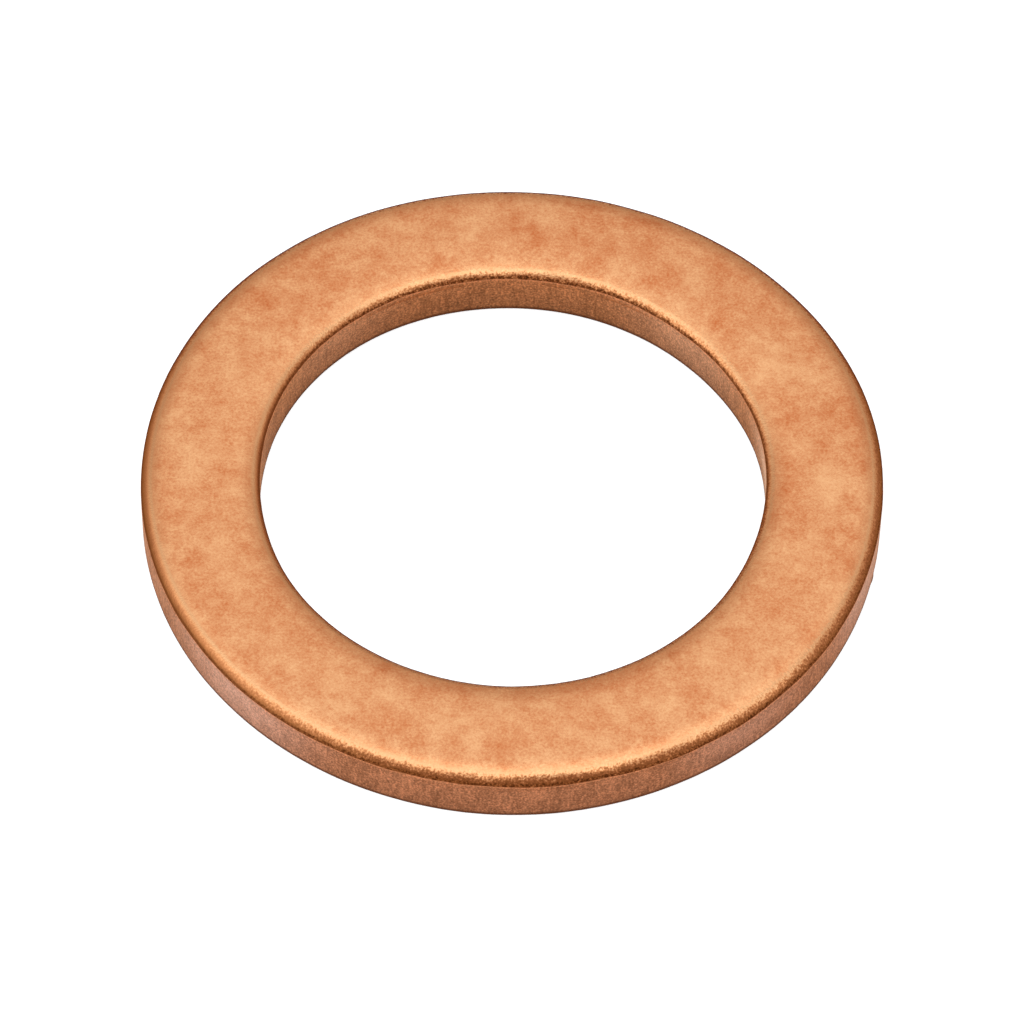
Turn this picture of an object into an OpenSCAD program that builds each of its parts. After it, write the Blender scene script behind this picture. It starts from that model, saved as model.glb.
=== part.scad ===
// Flat copper sealing washer for an M12 banjo bolt, drain plug or pipe union, blanked from strip.
// It lies on its lower face: the origin is the centre of the bore on that face, and +Z is the axis.
// The die and the punch pull the strip down at the upper edges. Each roll-over leaves the face in a
// slow lead-in arc, then turns down a tighter nose arc, and ends in a crease against the sheared
// wall. The lower edges are only broken by tumbling.

/* [Ring] */
// Outside diameter at the sheared wall
outer_d = 17.9; // [16.5:0.1:20]
// Bore diameter at the sheared wall
bore_d = 12.26; // [11:0.02:13]
// Thickness from the lower face to the upper face
thickness = 1.5; // [1:0.05:3]

/* [Roll-over at the outer edge] */
// Radius of the slow arc that leaves the upper face
rim_lead_radius = 2.2; // [1:0.05:2.8]
// Radius of the tight arc that runs down to the crease at the outer wall
rim_nose_radius = 0.515; // [0.3:0.005:0.62]

/* [Roll-over at the bore] */
// Radius of the slow arc that leaves the upper face
bore_lead_radius = 2.8; // [1:0.05:3.4]
// Radius of the tight arc that runs down to the crease at the bore wall
bore_nose_radius = 0.388; // [0.3:0.002:0.5]

/* [Both roll-overs] */
// Slope, in degrees, at which the lead-in arc hands over to the nose arc
lead_turn = 15; // [8:1:18]
// Slope, in degrees, at which the nose arc ends in the crease
end_turn = 57; // [45:1:62]

/* [Tumbled lower edges] */
// Radius that tumbling leaves on both lower edges
edge_break = 0.07; // [0.02:0.01:0.2]

/* [Hidden] */
$fn = 96;
// The waste cutters stand this far past the faces that they cut
over = 0.2;
outer_r = outer_d / 2;
bore_r = bore_d / 2;

// How far a roll-over reaches in from its wall
function roll_width(lead, nose) = lead * sin(lead_turn) + nose * (sin(end_turn) - sin(lead_turn));

// How far its crease lies below the upper face
function roll_depth(lead, nose) = lead * (1 - cos(lead_turn)) + nose * (cos(lead_turn) - cos(end_turn));

// Section of what lies above an arc, from x = start and down to y = -depth,
// where the arc is part of the circle with radius r round centre
module above_arc(start, depth, r, centre) {
    difference() {
        translate([start, -depth])
            square([over - start, depth + over]);
        translate(centre)
            circle(r);
    }
}

// Section of the metal that a roll-over takes from the corner at x = 0, y = 0,
// for a part that lies at x < 0 and y < 0. The lead-in arc is tangent to the upper face, and the
// nose arc to the lead-in arc. It meets the wall in a crease.
module roll_over_section(lead, nose) {
    lead_start = -roll_width(lead, nose);
    nose_start = lead_start + lead * sin(lead_turn);
    depth = roll_depth(lead, nose);
    above_arc(lead_start, depth, lead, [lead_start, -lead]);
    above_arc(nose_start, depth, nose, [
        lead_start + (lead - nose) * sin(lead_turn),
        -lead + (lead - nose) * cos(lead_turn),
    ]);
}

// Section of the metal that tumbling takes from a square corner at x = 0, y = 0,
// for a part that lies at x < 0 and y < 0. The arc is tangent to both faces.
module edge_break_section(r) {
    difference() {
        translate([-r, -r])
            square([r + over, r + over]);
        translate([-r, -r])
            circle(r);
    }
}

// Section of the ring in the plane of its axis, before it is turned round the axis
module ring_section() {
    difference() {
        translate([bore_r, 0])
            square([outer_r - bore_r, thickness]);
        translate([outer_r, thickness])
            roll_over_section(rim_lead_radius, rim_nose_radius);
        translate([bore_r, thickness])
            mirror([1, 0])
                roll_over_section(bore_lead_radius, bore_nose_radius);
        translate([outer_r, 0])
            mirror([0, 1])
                edge_break_section(edge_break);
        translate([bore_r, 0])
            mirror([1, 0])
                mirror([0, 1])
                    edge_break_section(edge_break);
    }
}

// The washer, one blanked piece
module washer() {
    color("#e39f6c")
        rotate_extrude()
            ring_section();
}

washer();
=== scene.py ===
"""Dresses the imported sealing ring: matt tumbled copper on a pale floor under soft studio light."""

import logging
import math
from dataclasses import dataclass, field
from enum import Enum
from typing import Any, Mapping, Sequence, Union

import bpy
from mathutils import Matrix, Vector


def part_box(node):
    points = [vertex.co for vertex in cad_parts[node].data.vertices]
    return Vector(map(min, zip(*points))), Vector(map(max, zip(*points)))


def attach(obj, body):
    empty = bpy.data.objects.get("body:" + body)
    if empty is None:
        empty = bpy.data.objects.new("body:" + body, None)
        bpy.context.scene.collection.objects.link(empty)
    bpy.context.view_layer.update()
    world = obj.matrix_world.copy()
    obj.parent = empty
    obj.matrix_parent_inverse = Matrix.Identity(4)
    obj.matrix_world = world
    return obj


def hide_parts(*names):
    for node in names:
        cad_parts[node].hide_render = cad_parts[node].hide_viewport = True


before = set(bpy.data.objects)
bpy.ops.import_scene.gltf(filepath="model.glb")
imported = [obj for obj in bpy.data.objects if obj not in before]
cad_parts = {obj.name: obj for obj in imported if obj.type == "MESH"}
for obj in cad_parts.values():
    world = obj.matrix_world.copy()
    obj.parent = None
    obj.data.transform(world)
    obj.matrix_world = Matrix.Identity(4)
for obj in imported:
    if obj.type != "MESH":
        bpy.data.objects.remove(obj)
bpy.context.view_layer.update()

Colour = tuple[float, float, float]
Triple = tuple[float, float, float]
Pair = tuple[float, float]
Number = Union["Value", float]

MM = 0.001
FULL_TURN = 60.0
FLAT: Triple = (1.0, 1.0, 0.0)
FRONT: Triple = (0.0, -1.0, 0.0)
MARKS = ("roll", "crease", "lip", "seam", "wall", "low", "foot", "bore")
LOG = logging.getLogger("sealing_ring")


class Side(Enum):
    """The two walls of the ring, with the sign of the way from the metal out to the air."""

    RIM = 1.0
    BORE = -1.0


class Bench:
    """Adds nodes to one node tree, and links them."""

    def __init__(self, tree: bpy.types.NodeTree) -> None:
        """Takes the tree that the nodes go into."""
        self.tree = tree

    def add(
        self,
        kind: str,
        settings: Mapping[str, Any] | None = None,
        sockets: Mapping[str, Any] | None = None,
    ) -> bpy.types.Node:
        """Adds one node.

        Args:
            kind: the node's Blender type.
            settings: its properties, set before its sockets; "stops" gives a colour ramp's stops.
            sockets: a number, colour, text or link for each input, by its identifier or its name.

        Returns:
            The new node.
        """
        node = self.tree.nodes.new(kind)
        for name, setting in (settings or {}).items():
            if name == "stops":
                self._set_stops(node.color_ramp, setting)
            else:
                setattr(node, name, setting)
        for name, value in (sockets or {}).items():
            socket = self.find(node.inputs, name)
            if isinstance(value, Value):
                self.tree.links.new(value.socket, socket)
            elif isinstance(value, bpy.types.NodeSocket):
                self.tree.links.new(value, socket)
            else:
                socket.default_value = value
        return node

    def value(
        self,
        kind: str,
        output: str,
        settings: Mapping[str, Any] | None = None,
        sockets: Mapping[str, Any] | None = None,
    ) -> "Value":
        """Adds one node as add does.

        Args:
            kind: the node's Blender type.
            output: the identifier or name of the output to use.
            settings: its properties.
            sockets: its inputs.

        Returns:
            That output, wrapped.
        """
        node = self.add(kind, settings, sockets)
        return Value(self, self.find(node.outputs, output))

    def math(self, operation: str, *terms: Number) -> "Value":
        """Adds a Math node.

        Args:
            operation: the node's operation.
            terms: its one to three terms.

        Returns:
            Its result.
        """
        node = self.add("ShaderNodeMath", {"operation": operation})
        for socket, term in zip(node.inputs, terms):
            if isinstance(term, Value):
                self.tree.links.new(term.socket, socket)
            else:
                socket.default_value = term
        return Value(self, node.outputs[0])

    def ramp(
        self, value: Number, low: float, high: float, start: float = 0.0, end: float = 1.0
    ) -> "Value":
        """Eases a number from one range into another.

        Args:
            value: the number.
            low: where the easing starts.
            high: where it ends.
            start: the result up to low.
            end: the result from high on.

        Returns:
            The eased number.
        """
        names = ("Value", "From Min", "From Max", "To Min", "To Max")
        sockets = dict(zip(names, (value, low, high, start, end)))
        return self.value("ShaderNodeMapRange", "Result", {"interpolation_type": "SMOOTHSTEP"}, sockets)

    def vector(
        self, operation: str, first: Any, second: Any = None, scale: Number | None = None
    ) -> "Value":
        """Adds a Vector Math node.

        Args:
            operation: the node's operation.
            first: its first vector.
            second: its second vector, where it has one.
            scale: its number, where it has one.

        Returns:
            Its result, a vector, or a number for DISTANCE, LENGTH and DOT_PRODUCT.
        """
        node = self.add("ShaderNodeVectorMath", {"operation": operation})
        given = {0: first, 1: second, 3: scale}
        for index, term in given.items():
            if isinstance(term, Value):
                self.tree.links.new(term.socket, node.inputs[index])
            elif term is not None:
                node.inputs[index].default_value = term
        single = operation in ("DISTANCE", "LENGTH", "DOT_PRODUCT")
        return Value(self, node.outputs["Value" if single else "Vector"])

    def blend(self, share: Number, first: Any, second: Any) -> "Value":
        """Mixes two colours.

        Args:
            share: how much of the second shows, from 0 to 1.
            first: the colour at 0, as three numbers or a link.
            second: the colour at 1.

        Returns:
            The mixed colour.
        """
        pair = [c if isinstance(c, Value) else (*c, 1.0) for c in (first, second)]
        sockets = {"Factor_Float": share, "A_Color": pair[0], "B_Color": pair[1]}
        settings = {"data_type": "RGBA", "clamp_factor": True}
        return self.value("ShaderNodeMix", "Result_Color", settings, sockets)

    def mix_shaders(
        self, share: "Value", first: bpy.types.Node, second: bpy.types.Node
    ) -> bpy.types.Node:
        """Mixes two shaders.

        Args:
            share: how much of the second shows, from 0 to 1.
            first: the shader at 0.
            second: the shader at 1.

        Returns:
            The Mix Shader node.
        """
        node = self.add("ShaderNodeMixShader", None, {"Fac": share})
        for socket, shader in zip(list(node.inputs)[1:], (first, second)):
            self.tree.links.new(shader.outputs[0], socket)
        return node

    def noise(self, place: "Value", grain: float, detail: float = 2.0, rough: float = 0.5) -> "Value":
        """Adds a cloud noise.

        Args:
            place: the point to read, in metres.
            grain: the size of its patches, in metres.
            detail: how many finer layers it has.
            rough: how strong the finer layers are.

        Returns:
            The noise, from 0 to 1 and about 0.5 on average.
        """
        sockets = {"Vector": place, "Scale": 1.0 / grain, "Detail": detail, "Roughness": rough}
        return self.value("ShaderNodeTexNoise", "Fac", {"noise_dimensions": "3D"}, sockets)

    @staticmethod
    def find(sockets: Any, name: str) -> bpy.types.NodeSocket:
        """Finds a socket.

        Args:
            sockets: a node's inputs or outputs.
            name: its identifier, or its name.

        Returns:
            The socket.
        """
        for socket in sockets:
            if socket.identifier == name:
                return socket
        return sockets[name]

    @staticmethod
    def _set_stops(ramp: bpy.types.ColorRamp, stops: Sequence[tuple[float, Colour]]) -> None:
        """Gives a colour ramp its stops.

        Args:
            ramp: the colour ramp.
            stops: a place from 0 to 1 and a colour for each.
        """
        while len(ramp.elements) < len(stops):
            ramp.elements.new(0.5)
        for element, (place, colour) in zip(ramp.elements, stops):
            element.position = place
            element.color = (*colour, 1.0)


class Value:
    """A socket on which Python's operators work, each of them by adding one Math node."""

    def __init__(self, bench: Bench, socket: bpy.types.NodeSocket) -> None:
        """Takes the bench that adds the nodes, and the socket to wrap."""
        self.bench = bench
        self.socket = socket

    def __add__(self, other: Number) -> "Value":
        """Adds."""
        return self.bench.math("ADD", self, other)

    def __radd__(self, other: Number) -> "Value":
        """Adds, with the number first."""
        return self.bench.math("ADD", other, self)

    def __sub__(self, other: Number) -> "Value":
        """Subtracts."""
        return self.bench.math("SUBTRACT", self, other)

    def __rsub__(self, other: Number) -> "Value":
        """Subtracts from the number."""
        return self.bench.math("SUBTRACT", other, self)

    def __mul__(self, other: Number) -> "Value":
        """Multiplies."""
        return self.bench.math("MULTIPLY", self, other)

    def __rmul__(self, other: Number) -> "Value":
        """Multiplies, with the number first."""
        return self.bench.math("MULTIPLY", other, self)

    def __truediv__(self, other: Number) -> "Value":
        """Divides."""
        return self.bench.math("DIVIDE", self, other)

    def __rtruediv__(self, other: Number) -> "Value":
        """Divides the number."""
        return self.bench.math("DIVIDE", other, self)


def clear_bench(owner: bpy.types.Material | bpy.types.World) -> Bench:
    """Takes all nodes off a material or a world.

    Args:
        owner: the material or the world.

    Returns:
        A bench on its empty tree.
    """
    owner.use_nodes = True
    owner.node_tree.nodes.clear()
    return Bench(owner.node_tree)


@dataclass(frozen=True)
class RollOver:
    """How the die or the punch pulls an upper edge down: arcs that get tighter, then a crease.

    Each arc is its radius in millimetres and the angle in degrees, from the upper face, where it ends.
    """

    arcs: tuple[Pair, ...]

    @property
    def end_turn(self) -> float:
        """The angle at the crease."""
        return self.arcs[-1][1]

    @property
    def width(self) -> float:
        """How far the roll-over reaches in from the wall."""
        return self.run_and_drop(self.end_turn)[0]

    @property
    def depth(self) -> float:
        """How far the crease lies below the upper face."""
        return self.run_and_drop(self.end_turn)[1]

    def run_and_drop(self, turn: float) -> Pair:
        """Follows the roll-over to where it has turned by an angle.

        Args:
            turn: the angle.

        Returns:
            The way outwards and the way down from where the flat face ends.
        """
        run = drop = start = 0.0
        for radius, end in self.arcs:
            stop = max(start, math.radians(min(turn, end)))
            run += radius * (math.sin(stop) - math.sin(start))
            drop += radius * (math.cos(start) - math.cos(stop))
            start = stop
        return run, drop

    def turns(self, steps: Sequence[int]) -> list[float]:
        """Divides the roll-over.

        Args:
            steps: how many steps each arc gets.

        Returns:
            The angles from just past the flat face to the crease.
        """
        angles, start = [], 0.0
        for (_, end), count in zip(self.arcs, steps):
            angles += [start + (end - start) * (k + 1) / count for k in range(count)]
            start = end
        return angles


@dataclass(frozen=True)
class Station:
    """One point of the ring's section, in millimetres, and the marks that its finish reads.

    The mark roll is how far the roll-over has turned there, as a share of FULL_TURN. The others run
    from 0 to 1: crease beside the crease, lip on the lip under it, seam on the broken seam, wall on a
    sheared wall and low towards its lower end, foot on the lower edges, and bore on the bore's side.
    """

    radius: float
    height: float
    roll: float = 0.0
    crease: float = 0.0
    lip: float = 0.0
    seam: float = 0.0
    wall: float = 0.0
    low: float = 0.0
    foot: float = 0.0
    bore: float = 0.0


@dataclass
class BlankedRing:
    """The ring, blanked and tumbled: its section is swept round the axis by Geometry Nodes.

    Lengths are in millimetres, and a grain is the size of the patches in a pattern, which a squeeze
    draws out upwards. The crease wanders in long bends and short rags, in the shares of wander_mix.
    Each wave is how often it goes round the ring, the azimuth of a crest in degrees and its height.
    Each point of the lip is its share of the crease's dip, its height over the wall in shoulders, and
    its mark.
    """

    outer_radius: float = 8.95
    bore_radius: float = 6.13
    thickness: float = 1.5
    bore_flare: float = 0.03
    edge_break: float = 0.07
    rim_roll: RollOver = RollOver(((18.0, 2.5), (5.0, 4.5), (1.6, 15.0), (0.51, 57.0)))
    bore_roll: RollOver = RollOver(((6.0, 5.0), (2.1, 15.0), (0.41, 57.0)))
    crease_dip: float = 0.006
    crease_reach: float = 0.12
    shoulder: float = 0.03
    lip_points: tuple[Triple, ...] = ((0.15, 0.7, 1.0), (0.45, 1.4, 0.8))
    seam_drop: float = 0.1
    segments: int = 1024
    wander: float = 0.045
    bend_grain: float = 1.7
    rag_grain: float = 0.22
    wander_mix: Pair = (1.6, 0.5)
    ripple: float = 0.006
    hill_grain: float = 1.5
    peel: float = 0.002
    pore_grain: float = 0.17
    shear: float = 0.003
    cut_grain: float = 0.28
    cut_squeeze: float = 0.07
    burr_height: float = 0.045
    burr_reach: float = 0.2
    burr_azimuth: float = 347.4
    burr_level: float = 0.04
    rim_waves: tuple[tuple[int, float, float], ...] = (
        (0, 0.0, 0.0091), (1, 76.1, 0.0112), (2, -41.0, 0.0021), (3, 25.3, 0.0197), (4, 30.2, 0.0094),
        (6, 18.1, 0.0058), (7, 16.4, 0.0028))
    bore_waves: tuple[tuple[int, float, float], ...] = (
        (0, 0.0, -0.0117), (1, 52.3, 0.0074), (2, -84.8, 0.0067), (3, 5.8, 0.0198), (4, 33.1, 0.0113),
        (5, 5.4, 0.0073), (6, 20.3, 0.0064), (7, 12.0, 0.0052))
    lower_steps: int = 4
    break_steps: int = 3
    wall_steps: int = 10
    rim_steps: tuple[int, ...] = (3, 2, 6, 15)
    bore_steps: tuple[int, ...] = (3, 6, 15)
    face_steps: int = 4

    def stations(self) -> list[Station]:
        """Walks round the section once, along the lower face, up the rim, back over and down the bore.

        Returns:
            The points in order, which turn to the left.
        """
        rim_up = self._wall(Side.RIM) + self._roll(Side.RIM)
        bore_up = self._wall(Side.BORE) + self._roll(Side.BORE)
        path = [self._lower(k) for k in range(1, self.lower_steps)]
        path += rim_up
        inner_flat = self.bore_radius + self.bore_roll.width
        outer_flat = self.outer_radius - self.crease_dip - self.rim_roll.width
        for k in range(1, self.face_steps):
            share = k / self.face_steps
            path.append(Station(outer_flat + (inner_flat - outer_flat) * share, self.thickness))
        return path + bore_up[::-1]

    def _lower(self, step: int) -> Station:
        """Gives a point of the lower face between its two edges.

        Args:
            step: its number, counted outwards from the bore.

        Returns:
            The point.
        """
        start = self.bore_radius + self.bore_flare + self.edge_break
        end = self.outer_radius - self.edge_break
        return Station(start + (end - start) * step / self.lower_steps, 0.0, foot=0.5)

    def _wall(self, side: Side) -> list[Station]:
        """Gives one wall from the lower face to its shoulder under the crease.

        Args:
            side: the rim or the bore.

        Returns:
            Its points, upwards.
        """
        way, bore = side.value, float(side is Side.BORE)
        radius = self.outer_radius if side is Side.RIM else self.bore_radius
        flare = 0.0 if side is Side.RIM else self.bore_flare
        roll = self.rim_roll if side is Side.RIM else self.bore_roll
        centre = radius + flare - way * self.edge_break
        points = []
        for k in range(self.break_steps + 1):
            turn = math.pi / 2 * k / self.break_steps
            points.append(Station(
                centre + way * self.edge_break * math.sin(turn),
                self.edge_break * (1 - math.cos(turn)),
                wall=1.0, low=1.0, foot=1.0, bore=bore,
            ))
        top = self.thickness - roll.depth - 2 * self.shoulder
        seam = top - self.seam_drop
        for k in range(1, self.wall_steps + 1):
            share = k / self.wall_steps
            height = self.edge_break + (seam - self.shoulder - self.edge_break) * share
            points.append(Station(
                radius + flare * (1 - share), height, wall=1.0, low=1 - share, bore=bore,
            ))
        points.append(Station(radius, seam, wall=1.0, seam=1.0, bore=bore))
        points.append(Station(radius, top, wall=1.0, bore=bore))
        for dip, rise, lip in self.lip_points:
            points.append(Station(
                radius - way * dip * self.crease_dip, top + rise * self.shoulder,
                wall=1.0, lip=lip, bore=bore,
            ))
        return points

    def _roll(self, side: Side) -> list[Station]:
        """Gives one roll-over from its crease up to the flat face.

        Args:
            side: the rim or the bore.

        Returns:
            Its points, upwards.
        """
        way, bore = side.value, float(side is Side.BORE)
        roll = self.rim_roll if side is Side.RIM else self.bore_roll
        steps = self.rim_steps if side is Side.RIM else self.bore_steps
        radius = self.outer_radius if side is Side.RIM else self.bore_radius
        flat = radius - way * (roll.width + self.crease_dip)
        points = []
        for turn in reversed(roll.turns(steps)):
            run, drop = roll.run_and_drop(turn)
            left = math.hypot(roll.width - run, roll.depth - drop)
            points.append(Station(
                flat + way * run, self.thickness - drop,
                roll=turn / FULL_TURN, crease=max(0.0, 1 - left / self.crease_reach), bore=bore,
            ))
        points.append(Station(flat, self.thickness, bore=bore))
        return points

    def section_object(self) -> bpy.types.Object:
        """Makes the section as a closed loop of edges.

        Returns:
            Its object. X counts outwards from the circle that it is swept along, and Y counts down,
            because a sweep along a flat circle turns a profile's Y that way. The points run
            backwards, which makes the swept faces point outwards.
        """
        middle = self._middle_radius
        stations = self.stations()[::-1]
        mesh = bpy.data.meshes.new("section")
        points = [((s.radius - middle) * MM, -s.height * MM, 0.0) for s in stations]
        mesh.from_pydata(points, [(k, (k + 1) % len(points)) for k in range(len(points))], [])
        for mark in MARKS:
            layer = mesh.attributes.new(mark, "FLOAT", "POINT")
            layer.data.foreach_set("value", [getattr(s, mark) for s in stations])
        section = bpy.data.objects.new("section", mesh)
        bpy.context.scene.collection.objects.link(section)
        return section

    @property
    def _middle_radius(self) -> float:
        """The radius of the circle that the section is swept along."""
        return (self.outer_radius + self.bore_radius) / 2

    def sweep_tree(self) -> bpy.types.NodeTree:
        """Builds the tree that sweeps the section and then works the metal.

        Returns:
            The tree, whose inputs are lengths in metres.
        """
        tree = bpy.data.node_groups.new("sweep_and_work", "GeometryNodeTree")
        kinds = {
            "Section": "Geometry", "Radius": "Float", "Segments": "Int", "Wander": "Float",
            "Ripple": "Float", "Peel": "Float", "Shear": "Float", "Burr Height": "Float",
            "Burr Reach": "Float", "Burr Place": "Vector", "Finish": "Material",
        }
        for name, kind in kinds.items():
            tree.interface.new_socket(name, in_out="INPUT", socket_type=f"NodeSocket{kind}")
        tree.interface.new_socket("Ring", in_out="OUTPUT", socket_type="NodeSocketGeometry")
        bench = Bench(tree)
        given = bench.add("NodeGroupInput")
        size = {name: Value(bench, given.outputs[name]) for name in kinds}
        profile = bench.value("GeometryNodeMeshToCurve", "Curve", None, {"Mesh": size["Section"]})
        circle = bench.value(
            "GeometryNodeCurvePrimitiveCircle", "Curve", {"mode": "RADIUS"},
            {"Resolution": size["Segments"], "Radius": size["Radius"]},
        )
        swept = bench.value(
            "GeometryNodeCurveToMesh", "Mesh", None, {"Curve": circle, "Profile Curve": profile})
        worked = bench.value(
            "GeometryNodeSetPosition", "Geometry", None,
            {"Geometry": swept, "Offset": self._working(bench, size)},
        )
        smooth = bench.value("GeometryNodeSetShadeSmooth", "Geometry", None, {"Geometry": worked})
        solid = bench.value("GeometryNodeRealizeInstances", "Geometry", None, {"Geometry": smooth})
        finished = bench.value(
            "GeometryNodeSetMaterial", "Geometry", None,
            {"Geometry": solid, "Material": size["Finish"]},
        )
        bench.add("NodeGroupOutput", None, {"Ring": finished})
        return tree

    def _working(self, bench: Bench, size: Mapping[str, Value]) -> Value:
        """Adds up what blanking and tumbling do to the surface.

        Args:
            bench: the sweep tree's bench.
            size: the tree's inputs by name.

        Returns:
            The way that each point moves.
        """
        mark = {
            name: bench.value(
                "GeometryNodeInputNamedAttribute", "Attribute", {"data_type": "FLOAT"}, {"Name": name})
            for name in MARKS
        }
        place = bench.value("GeometryNodeInputPosition", "Position")
        normal = bench.value("GeometryNodeInputNormal", "Normal")
        level = bench.vector("MULTIPLY", place, FLAT)
        outward = bench.vector("NORMALIZE", level)

        # the crease wanders up and down along the edge, in long bends and in short rags, but less at
        # the back of the rim and at the front of the bore
        bends = bench.noise(level, self.bend_grain * MM, 1.0) - 0.5
        rags = bench.noise(level, self.rag_grain * MM, 2.0, 0.7) - 0.5
        near_crease = bench.ramp(mark["roll"], 0.35, 0.9) + mark["lip"] * 0.9
        forward = bench.vector("DOT_PRODUCT", outward, FRONT) * (1 - 2 * mark["bore"])
        loose = bench.ramp(forward, -0.5, 0.2, 0.25, 1.0)
        of_bends, of_rags = self.wander_mix
        bent = bends * of_bends + rags * of_rags
        rise = bent * near_crease * loose * size["Wander"] * 2.0

        # the faces are a little uneven, and the strained metal of the roll-overs has a peel
        hills = bench.noise(place, self.hill_grain * MM, 2.0, 0.45) - 0.5
        pores = bench.noise(place, self.pore_grain * MM, 2.0, 0.6) - 0.5
        strained = bench.ramp(mark["roll"], 0.15, 0.7)
        swell = hills * size["Ripple"] * 2.0 + pores * size["Peel"] * (0.25 + strained) * 2.0

        # the walls keep upright marks of the cut
        drawn = bench.vector("MULTIPLY", place, (1.0, 1.0, self.cut_squeeze))
        cuts = bench.noise(drawn, self.cut_grain * MM, 3.0, 0.6) - 0.5
        swell = swell + cuts * size["Shear"] * mark["wall"] * 2.0

        # one burr is left on the lower outer edge
        to_burr = bench.vector("DISTANCE", place, size["Burr Place"]) / size["Burr Reach"]
        burr = bench.ramp(to_burr, 0.0, 1.0, 1.0, 0.0) * (0.6 + pores * 1.6) * mark["foot"]
        push = burr * size["Burr Height"]

        # blanking leaves the rim and the bore a little out of round
        reach = bench.vector("LENGTH", level)
        middle, quarter = self._middle_radius * MM, (self.outer_radius - self.bore_radius) / 4 * MM
        at_rim = bench.ramp(reach, middle, middle + quarter)
        at_bore = bench.ramp(reach, middle - quarter, middle, 1.0, 0.0)
        along = [bench.value("ShaderNodeSeparateXYZ", axis, None, {"Vector": level}) for axis in "YX"]
        azimuth = bench.math("ARCTAN2", *along)
        for weight, waves in ((at_rim, self.rim_waves), (at_bore, self.bore_waves)):
            for count, crest, amount in waves:
                wave = bench.math("COSINE", azimuth * count - math.radians(crest * count))
                push = push + wave * weight * (amount * MM)

        moved = bench.vector("SCALE", normal, scale=swell)
        lifted = bench.value("ShaderNodeCombineXYZ", "Vector", None, {"Z": rise})
        pushed = bench.vector("SCALE", outward, scale=push)
        return bench.vector("ADD", bench.vector("ADD", moved, lifted), pushed)

    def build(self, finish: bpy.types.Material) -> bpy.types.Object:
        """Makes the ring.

        Args:
            finish: its material.

        Returns:
            The finished piece, a plain mesh at the origin.
        """
        section = self.section_object()
        tree = self.sweep_tree()
        modifier = section.modifiers.new("sweep", "NODES")
        modifier.node_group = tree
        azimuth, away = math.radians(self.burr_azimuth), self.outer_radius * MM
        given = {
            "Radius": self._middle_radius * MM, "Segments": self.segments, "Wander": self.wander * MM,
            "Ripple": self.ripple * MM, "Peel": self.peel * MM, "Shear": self.shear * MM,
            "Burr Height": self.burr_height * MM, "Burr Reach": self.burr_reach * MM,
            "Burr Place": (away * math.cos(azimuth), away * math.sin(azimuth), self.burr_level * MM),
            "Finish": finish,
        }
        for item in tree.interface.items_tree:
            if item.name in given:
                modifier[item.identifier] = given[item.name]
        depsgraph = bpy.context.evaluated_depsgraph_get()
        mesh = bpy.data.meshes.new_from_object(
            section.evaluated_get(depsgraph), preserve_all_data_layers=True, depsgraph=depsgraph)
        section.modifiers.remove(modifier)
        bpy.data.objects.remove(section)
        mesh.name = "copper_ring"
        ring = bpy.data.objects.new("copper_ring", mesh)
        bpy.context.scene.collection.objects.link(ring)
        return ring


@dataclass(frozen=True)
class Stain:
    """A soft patch on the face or a wall: where its middle is, its reach and how strongly it shows.

    Its azimuth is in degrees, and its radius, reach and height are in millimetres.
    """

    azimuth: float
    radius: float
    reach: float
    shade: float
    height: float = 1.5

    @property
    def middle(self) -> Triple:
        """Its middle, in metres."""
        turn, away = math.radians(self.azimuth), self.radius * MM
        return away * math.cos(turn), away * math.sin(turn), self.height * MM


@dataclass(frozen=True)
class Grain:
    """The point, and the marks and patterns that several parts of the copper finish read there."""

    place: Value
    mark: Mapping[str, Value]
    clouds: Value
    specks: Value
    grit: Value
    cuts: Value
    strained: Value
    speck_light: Value
    speckle: Value
    near_crease: Value
    on_wall: Value


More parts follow.
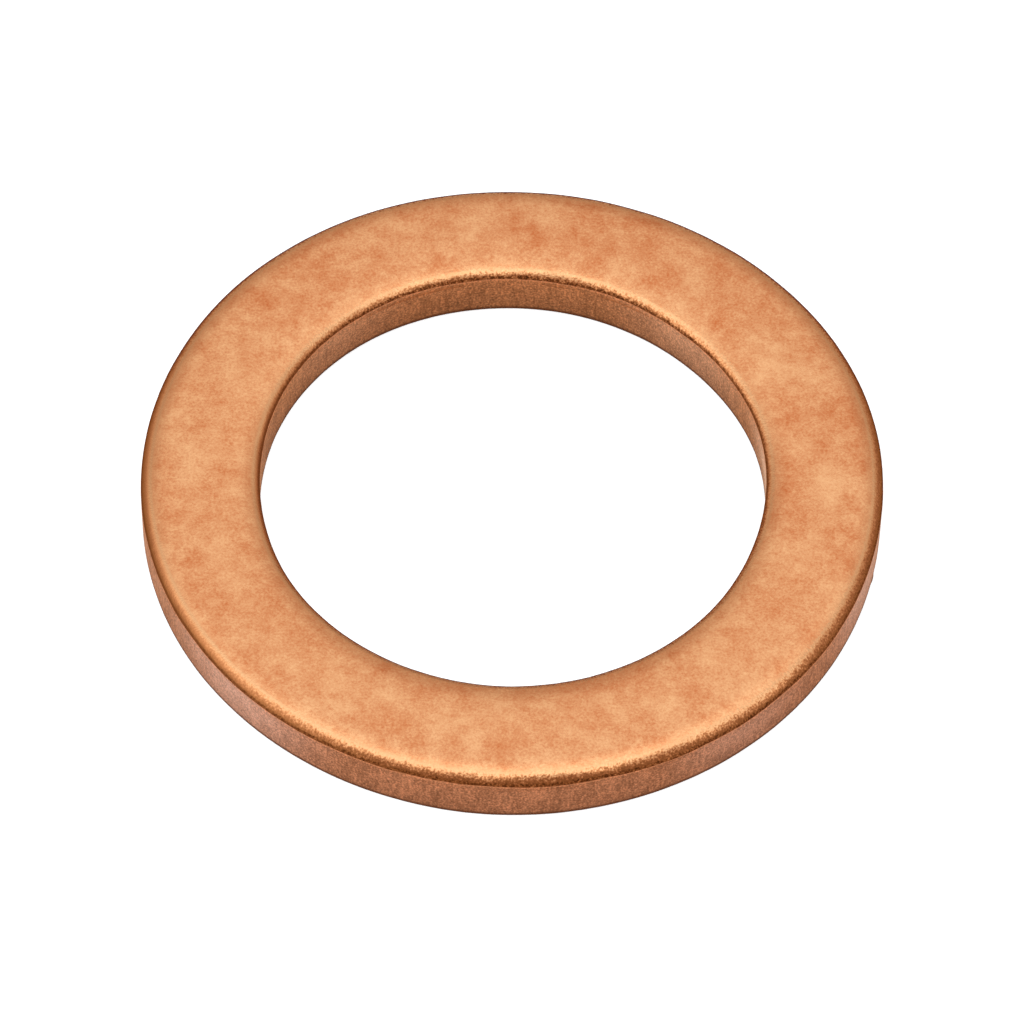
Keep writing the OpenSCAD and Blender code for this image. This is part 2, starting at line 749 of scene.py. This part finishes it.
@dataclass(frozen=True)
class CopperFinish:
    """Tumbled copper: soft clouds of tarnish on the face, with patches of painted light and shade,
    creases darkened by patina and by painted shade, and dull sheared walls.

    Colours are linear, and grains and heights are in millimetres. A mix holds the weights of the
    noises in a pattern, and a range is where in it the colours change. Each tone of the roll-over stands
    at the angle, in degrees, to which the metal has turned there, and tone_shift and bore_shift move
    that angle, as shares of FULL_TURN. The tones are painted paler where the highlight lies, and
    darker down the steep part towards the crease, as painted shade with some patina. How strongly
    the light and dark specks by the creases show is painted light and shade, set by a way and a side:
    most where an edge runs across the way, by its across weight, more towards the side, by its
    beside weight, and by its least weight all round.
    """

    face_dark: Colour = (0.60, 0.145, 0.037)
    face_light: Colour = (1.00, 0.562, 0.277)
    # tones of the roll-over by angle: less red at the gentle turn, a painted highlight colour, then
    # darker down the steep part to the crease, painted shade with some patina
    roll_tones_and_shading: tuple[tuple[float, Colour], ...] = (
        (12.0, (0.72, 0.348, 0.159)), (23.5, (0.69, 0.356, 0.168)), (28.5, (0.69, 0.336, 0.154)),
        (31.0, (0.67, 0.310, 0.135)), (35.0, (0.64, 0.265, 0.107)), (39.0, (0.505, 0.190, 0.072)),
        (44.0, (0.41, 0.143, 0.051)), (50.0, (0.325, 0.111, 0.035)))
    crease_tone: Colour = (0.42, 0.13, 0.034)
    # dark tone of the crease line and its specks, partly patina and partly painted shade, and of the
    # lower edges, painted shade
    oxide_and_shade_tone: Colour = (0.125, 0.033, 0.008)
    wall_dark: Colour = (0.41, 0.167, 0.075)
    wall_light: Colour = (0.62, 0.277, 0.136)
    # pale tone of the wall patches: partly dusty film, partly painted sheen of side light
    wall_dust_and_sheen: Colour = (0.73, 0.44, 0.32)
    lip_tone: Colour = (0.76, 0.33, 0.15)
    low_shade: Colour = (0.72, 0.69, 0.68)
    bore_shade: Colour = (1.04, 1.03, 0.87)
    # dark tone of the lower edges: painted shade where the ring meets the floor
    foot_shade_tone: Colour = (0.12, 0.045, 0.022)
    edge_tint: Colour = (0.22, 0.28, 0.38)
    # soft patches on the face: some are tarnish, and some are painted light and shade, lighter over most
    # of the near half and darker on the lead-in of the front roll-over, where its highlight spreads
    stains_and_shading: tuple[Stain, ...] = (
        Stain(75.0, 7.6, 1.3, -0.05), Stain(15.0, 7.9, 1.0, -0.05), Stain(135.0, 7.9, 0.8, 0.02),
        Stain(135.0, 6.95, 0.8, -0.04), Stain(90.0, 7.4, 1.2, -0.04), Stain(0.0, 6.8, 0.8, -0.05),
        Stain(0.0, 7.7, 1.1, 0.03), Stain(45.0, 6.9, 0.6, -0.04), Stain(45.0, 7.4, 0.9, 0.02),
        Stain(50.0, 8.3, 1.0, -0.03), Stain(30.0, 7.0, 0.7, 0.04), Stain(240.0, 7.9, 1.3, 0.03),
        Stain(225.0, 7.1, 0.6, -0.04), Stain(180.0, 7.6, 1.5, 0.045), Stain(315.0, 7.8, 1.4, 0.02),
        Stain(270.0, 7.1, 1.2, 0.025), Stain(270.0, 8.5, 0.8, -0.03), Stain(345.0, 7.6, 1.0, 0.02))
    # pale patches on the walls: partly dusty, partly painted sheen of light from the sides, strongest on
    # walls facing the front left
    dust_and_sheen: tuple[Stain, ...] = (
        Stain(225.0, 8.95, 3.4, 0.85), Stain(207.0, 8.95, 2.0, 0.10), Stain(308.0, 8.95, 2.6, 0.40),
        Stain(342.0, 8.95, 2.6, 0.75), Stain(2.0, 6.13, 2.6, 1.20), Stain(45.0, 6.13, 3.0, 0.55),
        Stain(135.0, 6.13, 2.6, 0.30))
    # how strongly the specks by the creases show: painted light and shade of the grain, set by a way and
    # a side across the ring
    grain_light_way: Triple = (-0.139, 0.990, 0.0)
    grain_light_side: Triple = (0.990, 0.139, 0.0)
    grain_light_across: float = 0.68
    grain_light_beside: float = 0.13
    grain_light_least: float = 0.14
    tone_shift: float = 0.068
    bore_shift: float = -0.12
    face_roughness: float = 0.25
    wall_roughness: float = 0.8
    oxide_roughness: float = 0.8
    cloud_grain: float = 0.9
    mottle_grain: float = 0.33
    fleck_grain: float = 0.06
    speck_grain: float = 0.11
    grit_grain: float = 0.05
    grit_contrast: float = 1.2
    face_mix: Triple = (0.35, 0.30, 0.35)
    face_range: Pair = (0.24, 0.76)
    wall_mix: Triple = (0.40, 0.33, 0.27)
    wall_range: Pair = (0.38, 0.62)
    speckle_mix: Pair = (1.25, 0.6)
    lip_share: float = 0.65
    foot_shade_share: float = 0.8
    # shares of the dark tone on the crease line and in the specks beside it: partly patina, partly
    # painted shade
    line_oxide_and_shade: float = 0.85
    pit_oxide_and_shade: float = 0.74
    pit_contrast: float = 3.0
    # the dark shader at the lower edges: painted shade
    foot_painted_shade: float = 0.6
    patch_grain: float = 0.5
    cut_grain: float = 0.085
    cut_squeeze: float = 0.15
    seam_grain: float = 2.2
    peel_height: float = 0.006
    cut_height: float = 0.012

    def material(self) -> bpy.types.Material:
        """Builds the shader.

        Returns:
            The material.
        """
        material = bpy.data.materials.new("tumbled_copper")
        bench = clear_bench(material)
        grain = self._grain(bench)
        colour = bench.blend(grain.on_wall, self._skin(bench, grain), self._wall(bench, grain))
        # painted light and shade of the grain: the specks by the creases darken and lighten the colour,
        # more along one way and towards one side
        grain_shading = grain.strained * (1 - grain.on_wall) * (0.5 + grain.near_crease * 1.2) * grain.speck_light
        coarse = grain.on_wall * self.grit_contrast - grain_shading
        colour = bench.vector("SCALE", colour, scale=1.0 + (grain.grit - 0.5) * coarse)
        bump = self._bump(bench, grain)
        roughness = self.face_roughness + (grain.clouds - 0.5) * 0.12 + grain.near_crease * 0.12
        burnished = bench.add("ShaderNodeBsdfPrincipled", None, {
            "Base Color": colour, "Roughness": roughness, "Metallic": 1.0, "Normal": bump,
            "Specular Tint": (*self.edge_tint, 1.0),
        })
        sheared = bench.add("ShaderNodeBsdfPrincipled", None, {
            "Base Color": colour, "Roughness": self.wall_roughness, "Metallic": 1.0, "Normal": bump,
        })
        metal = bench.mix_shaders(grain.on_wall, burnished, sheared)
        # the dark shader: patina with painted shade in the creases, painted shade at the feet
        depth = bench.math("MAXIMUM", 1.1 - grain.speckle * 2.2, 0.15)
        dark_oxide_and_shade = bench.add("ShaderNodeBsdfPrincipled", None, {
            "Base Color": bench.vector("SCALE", self.oxide_and_shade_tone, scale=depth),
            "Roughness": self.oxide_roughness, "Specular IOR Level": 0.0, "Normal": bump,
        })
        both = bench.mix_shaders(self._oxide_and_shade_share(bench, grain), metal, dark_oxide_and_shade)
        bench.add("ShaderNodeOutputMaterial", None, {"Surface": both.outputs[0]})
        return material

    def _grain(self, bench: Bench) -> Grain:
        """Adds the marks and the patterns that are read more than once.

        Args:
            bench: the shader's bench.

        Returns:
            The marks and patterns.
        """
        place = bench.value("ShaderNodeTexCoord", "Object")
        mark = {
            name: bench.value(
                "ShaderNodeAttribute", "Fac", {"attribute_name": name, "attribute_type": "GEOMETRY"})
            for name in MARKS
        }
        specks = bench.noise(place, self.speck_grain * MM, 2.0, 0.6)
        grit = bench.noise(place, self.grit_grain * MM, 1.0, 0.5)
        strained = bench.ramp(mark["roll"], 0.1, 0.5)
        outward = bench.vector("NORMALIZE", bench.vector("MULTIPLY", place, FLAT))
        # how strongly the specks show: painted light and shade, most across one way and towards one side
        across = bench.vector("DOT_PRODUCT", outward, self.grain_light_way)
        beside = bench.vector("DOT_PRODUCT", outward, self.grain_light_side)
        speck_light = across * across * self.grain_light_across + beside * self.grain_light_beside + self.grain_light_least
        of_grit, of_specks = self.speckle_mix
        speckle = ((grit - 0.5) * of_grit + (specks - 0.5) * of_specks) * speck_light
        drawn = bench.vector("MULTIPLY", place, (1.0, 1.0, self.cut_squeeze))
        return Grain(
            place=place, mark=mark, specks=specks, grit=grit,
            clouds=bench.noise(place, self.cloud_grain * MM, 4.0, 0.65),
            cuts=bench.noise(drawn, self.cut_grain * MM, 3.0, 0.7),
            strained=strained, speck_light=speck_light, speckle=speckle,
            near_crease=bench.ramp(mark["crease"] + speckle * 0.6 * strained, 0.2, 0.66),
            on_wall=bench.ramp(mark["wall"], 0.35, 0.65),
        )

    @staticmethod
    def _add_patches(
        bench: Bench, place: Value, amount: Number, patches: Sequence[Stain]
    ) -> Number:
        """Adds soft patches to a number.

        Args:
            bench: the shader's bench.
            place: the point to read.
            amount: the number before.
            patches: the patches, each of which fades from its middle to its reach.

        Returns:
            The number with the patches.
        """
        for patch in patches:
            away = bench.vector("DISTANCE", place, patch.middle)
            amount = amount + bench.ramp(away, 0.0, patch.reach * MM, patch.shade, 0.0)
        return amount

    def _skin(self, bench: Bench, grain: Grain) -> Value:
        """Mixes the colour of the face and of a roll-over, painted paler where its highlight lies
        and darker down its steep part, as painted shade with some patina.

        Args:
            bench: the shader's bench.
            grain: the marks and patterns.

        Returns:
            The colour.
        """
        mottles = bench.noise(grain.place, self.mottle_grain * MM, 3.0, 0.7)
        flecks = bench.noise(grain.place, self.fleck_grain * MM, 2.0, 0.7)
        of_clouds, of_mottles, of_flecks = self.face_mix
        cover = grain.clouds * of_clouds + mottles * of_mottles + flecks * of_flecks
        # the face's patches: tarnish, and painted light and shade
        cover = self._add_patches(bench, grain.place, cover, self.stains_and_shading)
        face = bench.blend(bench.ramp(cover, *self.face_range), self.face_dark, self.face_light)
        shift = grain.speckle + self.tone_shift + grain.mark["bore"] * self.bore_shift
        turned = grain.mark["roll"] + shift * grain.strained
        # the roll-over's tones: painted highlight colour at the gentle turn, painted shade with some
        # patina towards the crease
        stops = [(turn / FULL_TURN, tone) for turn, tone in self.roll_tones_and_shading]
        bent = bench.value("ShaderNodeValToRGB", "Color", {"stops": stops}, {"Fac": turned})
        return bench.blend(bench.ramp(turned, 0.12, 0.45), face, bent)

    def _wall(self, bench: Bench, grain: Grain) -> Value:
        """Mixes the walls' colour: a dull fracture with pale patches, partly dusty and partly painted
        sheen of side light, a brighter lip, a broken seam, and painted shade towards the lower end and
        at the foot.

        Args:
            bench: the shader's bench.
            grain: the marks and patterns.

        Returns:
            The colour.
        """
        mark = grain.mark
        patches = bench.noise(grain.place, self.patch_grain * MM, 4.0, 0.6)
        of_cuts, of_patches, of_grit = self.wall_mix
        dull = grain.cuts * of_cuts + patches * of_patches + grain.grit * of_grit
        wall = bench.blend(bench.ramp(dull, *self.wall_range), self.wall_dark, self.wall_light)
        # pale wall patches: partly dusty film, partly painted sheen of side light
        dust_and_sheen_share = self._add_patches(bench, grain.place, 0.0, self.dust_and_sheen)
        wall = bench.blend(dust_and_sheen_share * (patches * 0.8 + grain.cuts * 0.4 + 0.4), wall, self.wall_dust_and_sheen)
        shaded = mark["low"] * (0.4 + mark["bore"] * 0.5)
        wall = bench.blend(shaded, wall, bench.vector("MULTIPLY", wall, self.low_shade))
        wall = bench.blend(mark["bore"], wall, bench.vector("MULTIPLY", wall, self.bore_shade))
        wall = bench.blend(mark["lip"] * self.lip_share, wall, self.lip_tone)
        stretch = bench.noise(grain.place, self.seam_grain * MM, 1.0)
        broken = bench.ramp(stretch + (grain.specks - 0.5) * 0.4, 0.42, 0.62) * mark["seam"]
        wall = bench.blend(broken * (0.25 + mark["bore"] * 0.45), wall, self.crease_tone)
        # painted shade on the lower edges, where the ring meets the floor
        return bench.blend(mark["foot"] * self.foot_shade_share, wall, self.foot_shade_tone)

    def _bump(self, bench: Bench, grain: Grain) -> Value:
        """Raises the peel of the strained metal and the upright marks of the cut.

        Args:
            bench: the shader's bench.
            grain: the marks and patterns.

        Returns:
            The bumped normal.
        """
        peel = grain.grit * (0.1 + grain.strained * 0.9) * (1 - grain.on_wall)
        marks = (grain.cuts * 0.6 + grain.grit * 0.6) * grain.on_wall
        height = peel * (self.peel_height * MM) + marks * (self.cut_height * MM)
        sockets = {"Strength": 1.0, "Distance": 1.0, "Height": height}
        return bench.value("ShaderNodeBump", "Normal", None, sockets)

    def _oxide_and_shade_share(self, bench: Bench, grain: Grain) -> Value:
        """Gathers the dark tone: on the crease line and in specks beside it, partly patina and partly
        painted shade of the crease and the steep metal turning into it, and at the foot of the walls,
        painted shade where the ring meets the floor.

        Args:
            bench: the shader's bench.
            grain: the marks and patterns.

        Returns:
            How much of it shows, from 0 to 1.
        """
        # the crease line and its specks: partly patina, partly painted shade
        line = bench.ramp(grain.mark["crease"], 0.84, 1.0) * self.line_oxide_and_shade
        pits = grain.near_crease * (self.pit_oxide_and_shade + grain.speckle * self.pit_contrast)
        pitted = bench.math("MAXIMUM", pits, line) * (1 - grain.on_wall)
        # painted shade at the foot of the walls
        return bench.math("MAXIMUM", pitted, grain.mark["foot"] * self.foot_painted_shade)


@dataclass(frozen=True)
class FloorFinish:
    """A pale matt floor that looks white to the camera and in the metal, and keeps the shadow."""

    tone: Colour = (0.8, 0.8, 0.8)
    cloud_grain: float = 40.0
    cloud_shade: float = 0.98
    glow: float = 0.62
    glow_in_metal: float = 0.17

    def material(self) -> bpy.types.Material:
        """Builds the shader.

        Returns:
            The material.
        """
        material = bpy.data.materials.new("pale_floor")
        bench = clear_bench(material)
        place = bench.value("ShaderNodeTexCoord", "Object")
        cloud = bench.noise(place, self.cloud_grain * MM, 2.0)
        tone = bench.blend(cloud, tuple(c * self.cloud_shade for c in self.tone), self.tone)
        matt = bench.add("ShaderNodeBsdfDiffuse", None, {"Color": tone})
        path = bench.add("ShaderNodeLightPath")
        seen = Value(bench, path.outputs["Is Camera Ray"])
        strength = seen * self.glow
        for name in ("Is Glossy Ray", "Is Transmission Ray"):
            ray = Value(bench, path.outputs[name])
            strength = bench.math("MAXIMUM", strength, ray * self.glow_in_metal)
            seen = bench.math("MAXIMUM", seen, ray)
        light = bench.add(
            "ShaderNodeEmission", None, {"Color": (1.0, 1.0, 1.0, 1.0), "Strength": strength})
        lit = bench.add("ShaderNodeAddShader")
        for socket, shader in zip(lit.inputs, (matt, light)):
            bench.tree.links.new(shader.outputs[0], socket)
        mix = bench.mix_shaders(seen, matt, lit)
        bench.add("ShaderNodeOutputMaterial", None, {"Surface": mix.outputs[0]})
        return material


@dataclass(frozen=True)
class Glow:
    """A soft patch of light on the room's walls or ceiling, with its place and spread in degrees."""

    azimuth: float
    height: float
    spread: float
    level: float

    @property
    def middle(self) -> Triple:
        """The way from the ring to its middle."""
        turn, lift = math.radians(self.azimuth), math.radians(self.height)
        return math.cos(lift) * math.cos(turn), math.cos(lift) * math.sin(turn), math.sin(lift)


@dataclass
class Studio:
    """The floor, the soft box, the room and the camera, with angles in degrees and sizes in metres."""

    floor_size: float = 3.0
    eye: Vector = field(default_factory=lambda: Vector((0.0, -87.376, 118.052)) * MM)
    aim: Vector = field(default_factory=lambda: Vector((0.018, -0.116, 0.0)) * MM)
    roll: float = 1.178
    lens: float = 212.68
    sensor: float = 36.0
    clip: Pair = (0.01, 100.0)
    box_turn: float = 12.2
    box_distance: float = 0.25
    box_size: Pair = (0.448, 0.204)
    box_level: float = 0.417
    box_tint: Colour = (0.80, 1.0, 1.12)
    room_level: float = 0.591
    room_tint: Colour = (1.14, 1.0, 0.92)
    glow_tint: Colour = (0.80, 1.0, 1.12)
    glows: tuple[Glow, ...] = (
        Glow(87.6, 65.7, 33.2, 0.425), Glow(182.7, 44.7, 42.6, 0.75), Glow(348.3, 61.3, 39.3, 0.50),
        Glow(259.4, 73.8, 29.6, 0.66), Glow(148.2, 7.5, 28.4, 0.225), Glow(40.9, 36.8, 13.1, 0.35),
        Glow(200.0, 10.0, 45.0, 0.80), Glow(340.0, 10.0, 40.0, 0.25))

    def floor(self, finish: FloorFinish) -> bpy.types.Object:
        """Lays the floor.

        Args:
            finish: its finish.

        Returns:
            The floor's object.
        """
        half = self.floor_size / 2
        corners = [(-half, -half, 0.0), (half, -half, 0.0), (half, half, 0.0), (-half, half, 0.0)]
        mesh = bpy.data.meshes.new("floor")
        mesh.from_pydata(corners, [], [(0, 1, 2, 3)])
        mesh.materials.append(finish.material())
        floor = bpy.data.objects.new("floor", mesh)
        bpy.context.scene.collection.objects.link(floor)
        return floor

    def soft_box(self) -> bpy.types.Object:
        """Hangs the soft box over the ring.

        Returns:
            The lamp's object.
        """
        width, depth = self.box_size
        lamp = bpy.data.lights.new("soft_box", "AREA")
        lamp.shape = "RECTANGLE"
        lamp.size, lamp.size_y = width, depth
        lamp.energy = self.box_level * math.pi * width * depth
        lamp.color = self.box_tint
        box = bpy.data.objects.new("soft_box", lamp)
        turn = math.radians(self.box_turn)
        way = Vector((0.0, -math.sin(turn), math.cos(turn)))
        facing = way.to_track_quat("Z", "Y").to_matrix().to_4x4()
        box.matrix_world = Matrix.Translation(way * self.box_distance) @ facing
        bpy.context.scene.collection.objects.link(box)
        return box

    def room(self) -> bpy.types.World:
        """Gives the room its light.

        Returns:
            The world.
        """
        world = bpy.data.worlds.new("room")
        bpy.context.scene.world = world
        bench = clear_bench(world)
        way_out = bench.value("ShaderNodeTexCoord", "Generated")
        level: Number = 0.0
        for glow in self.glows:
            facing = bench.vector("DOT_PRODUCT", way_out, glow.middle)
            rim = math.cos(math.radians(glow.spread))
            level = level + bench.ramp(facing, rim, 1.0, 0.0, glow.level)
        glowing = bench.vector("SCALE", self.glow_tint, scale=level)
        room = tuple(share * self.room_level for share in self.room_tint)
        colour = bench.vector("ADD", glowing, room)
        air = bench.add("ShaderNodeBackground", None, {"Color": colour, "Strength": 1.0})
        bench.add("ShaderNodeOutputWorld", None, {"Surface": air.outputs[0]})
        return world

    def camera(self) -> bpy.types.Object:
        """Sets up the camera where the photograph was taken from.

        Returns:
            The camera's object.
        """
        lens = bpy.data.cameras.new("camera")
        lens.lens, lens.sensor_width, lens.sensor_fit = self.lens, self.sensor, "HORIZONTAL"
        lens.clip_start, lens.clip_end = self.clip
        camera = bpy.data.objects.new("camera", lens)
        sight = (self.aim - self.eye).normalized()
        level = sight.cross(Vector((0.0, 0.0, 1.0))).normalized()
        upright = level.cross(sight)
        turn = math.radians(self.roll)
        right = level * math.cos(turn) + upright * math.sin(turn)
        top = upright * math.cos(turn) - level * math.sin(turn)
        pose = Matrix((right, top, -sight)).transposed().to_4x4()
        camera.matrix_world = Matrix.Translation(self.eye) @ pose
        bpy.context.scene.collection.objects.link(camera)
        bpy.context.scene.camera = camera
        return camera


def main() -> None:
    """Builds the pieces in order, and reports each one."""
    logging.basicConfig(level=logging.INFO, format="%(name)s: %(message)s")
    bpy.context.scene.view_settings.view_transform = "Standard"
    _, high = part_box("washer")
    ring_sizes = BlankedRing(outer_radius=high.x / MM, thickness=high.z / MM)
    ring = ring_sizes.build(CopperFinish().material())
    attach(ring, "root")
    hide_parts("washer")
    LOG.info("%s: %d faces", ring.name, len(ring.data.polygons))
    studio = Studio()
    LOG.info("%s laid", studio.floor(FloorFinish()).name)
    LOG.info("%s hung", studio.soft_box().name)
    LOG.info("%s lit", studio.room().name)
    LOG.info("%s placed", studio.camera().name)


if __name__ == "__main__":
    main()
